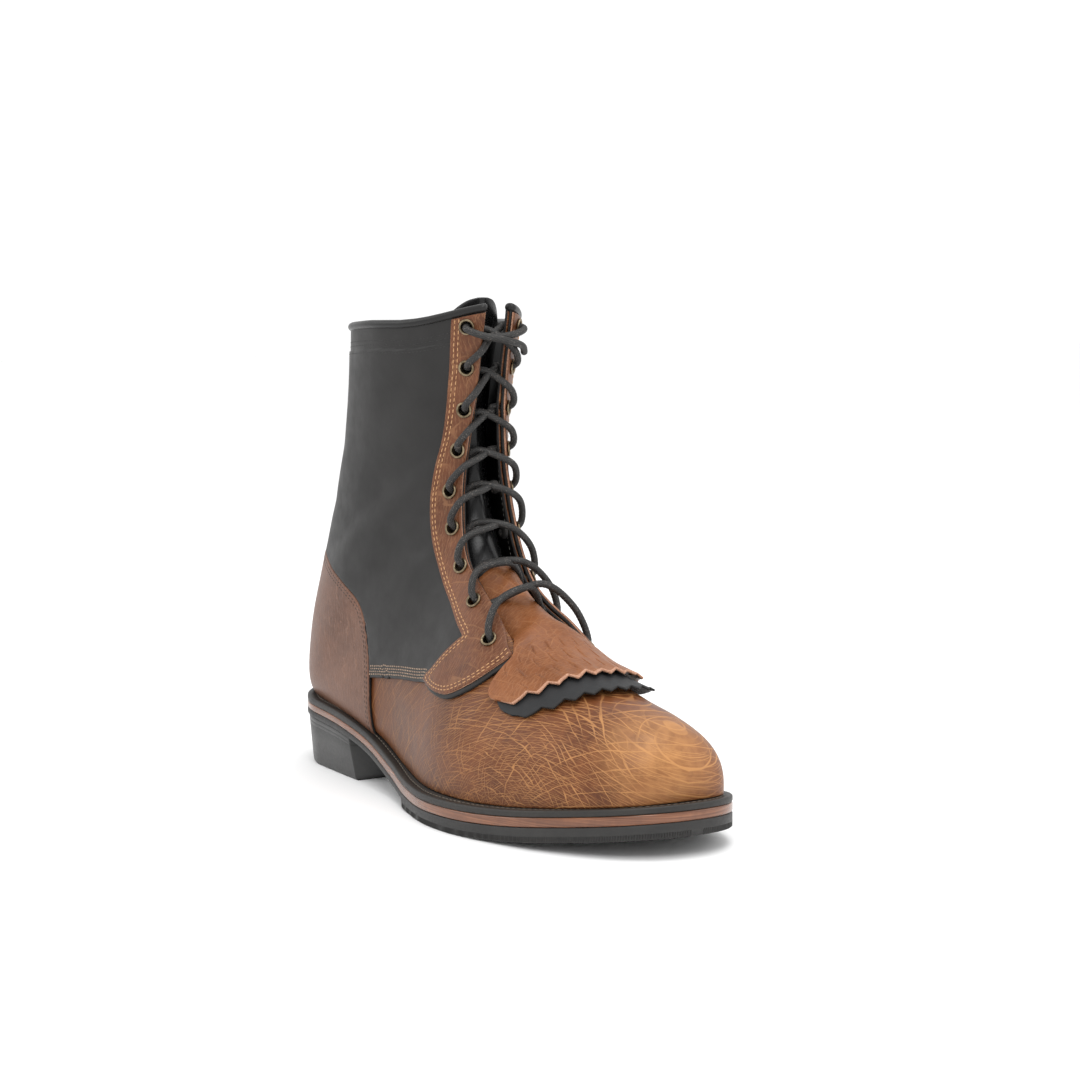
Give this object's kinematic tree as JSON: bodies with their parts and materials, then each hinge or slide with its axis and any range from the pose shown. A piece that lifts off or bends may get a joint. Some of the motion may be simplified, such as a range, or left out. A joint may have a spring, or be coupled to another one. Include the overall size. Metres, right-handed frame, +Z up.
{
  "type": "lace-up packer boot",
  "caption": "Right-foot lace-up packer boot with a fringed kiltie, hollow leather upper, rolled collar, welted sole and block heel.",
  "frame": {"origin": "middle of the boot's bounding box, on the floor", "axes": "+Z up, the toe points to -Y, the outer side of the foot is -X"},
  "size_m": [0.1056, 0.299, 0.2314],
  "materials": {
    "vamp_leather": "oiled, finely crackled",
    "counter_leather": "satin, worn",
    "eyestay_leather": "satin, smooth",
    "kiltie_leather": "satin, smooth",
    "shaft_leather": "satin, smooth",
    "trim_leather": "satin",
    "insole_leather": "matt",
    "welt_leather": "matt",
    "midsole_leather": "waxed edge",
    "sole_rubber": "satin",
    "heel_rubber": "satin",
    "eyelet_brass": "antique",
    "lace_cord": "braided"
  },
  "bodies": {
    "root": {"outsole": "sole_rubber", "midsole": "midsole_leather", "welt": "welt_leather", "heel": "heel_rubber", "insole": "insole_leather", "upper": "vamp_leather", "quarters": "shaft_leather", "counter": "counter_leather", "eyestay_lateral": "eyestay_leather", "eyestay_medial": "eyestay_leather", "collar_binding": "trim_leather", "tongue": "trim_leather", "kiltie_top": "kiltie_leather", "kiltie_under": "trim_leather", "eyelet_lateral_1": "eyelet_brass", "eyelet_medial_1": "eyelet_brass", "eyelet_lateral_2": "eyelet_brass", "eyelet_medial_2": "eyelet_brass", "eyelet_lateral_3": "eyelet_brass", "eyelet_medial_3": "eyelet_brass", "eyelet_lateral_4": "eyelet_brass", "eyelet_medial_4": "eyelet_brass", "eyelet_lateral_5": "eyelet_brass", "eyelet_medial_5": "eyelet_brass", "eyelet_lateral_6": "eyelet_brass", "eyelet_medial_6": "eyelet_brass", "eyelet_lateral_7": "eyelet_brass", "eyelet_medial_7": "eyelet_brass", "eyelet_lateral_8": "eyelet_brass", "eyelet_medial_8": "eyelet_brass", "eyelet_lateral_9": "eyelet_brass", "eyelet_medial_9": "eyelet_brass", "lace_cross_1": "lace_cord", "lace_cross_2": "lace_cord", "lace_cross_3": "lace_cord", "lace_cross_4": "lace_cord", "lace_cross_5": "lace_cord", "lace_cross_6": "lace_cord", "lace_cross_7": "lace_cord", "lace_cross_8": "lace_cord", "lace_cross_top": "lace_cord"}
  },
  "joints": []
}
